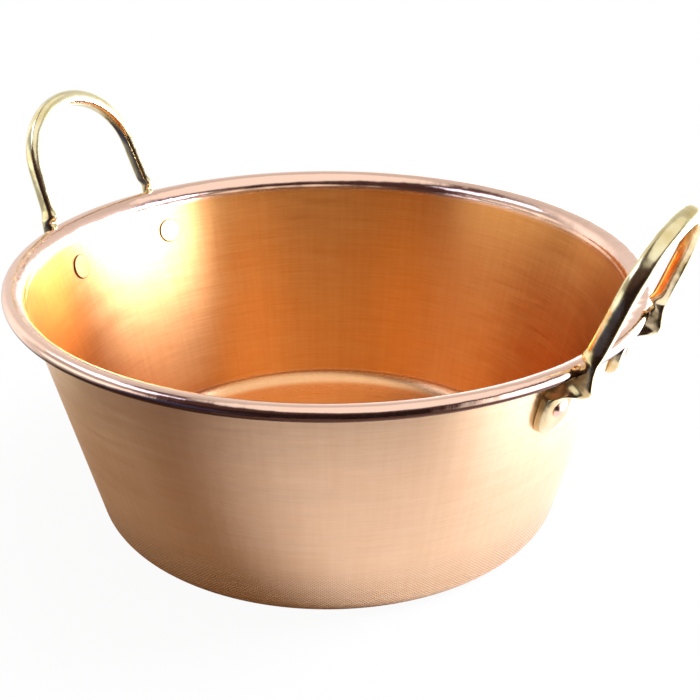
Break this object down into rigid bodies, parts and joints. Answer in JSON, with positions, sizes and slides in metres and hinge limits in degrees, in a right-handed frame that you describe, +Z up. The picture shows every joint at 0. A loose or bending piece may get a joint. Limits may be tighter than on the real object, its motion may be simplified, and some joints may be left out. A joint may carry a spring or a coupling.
{
  "type": "copper jam pan",
  "caption": "Wide, low copper preserving pan with sloping walls, a wired rolled rim and a pair of riveted cast brass loop handles that stand above the rim.",
  "frame": {"origin": "middle of the underside of the base, on the table", "axes": "+Z up, +X to the right handle, -Y to the front"},
  "size_m": [0.4358, 0.3798, 0.2261],
  "materials": {
    "spun_copper": "satin spun and brushed copper, polished on the rolled rim",
    "rim_steel": "plain drawn wire",
    "cast_brass": "polished yellow brass casting",
    "rivet_copper": "hammered copper, polished over"
  },
  "bodies": {
    "root": {"pan_body": "spun_copper", "rim_wire": "rim_steel", "left_handle": "cast_brass", "right_handle": "cast_brass", "left_handle_front_rivet": "rivet_copper", "left_handle_back_rivet": "rivet_copper", "right_handle_front_rivet": "rivet_copper", "right_handle_back_rivet": "rivet_copper"}
  },
  "joints": []
}
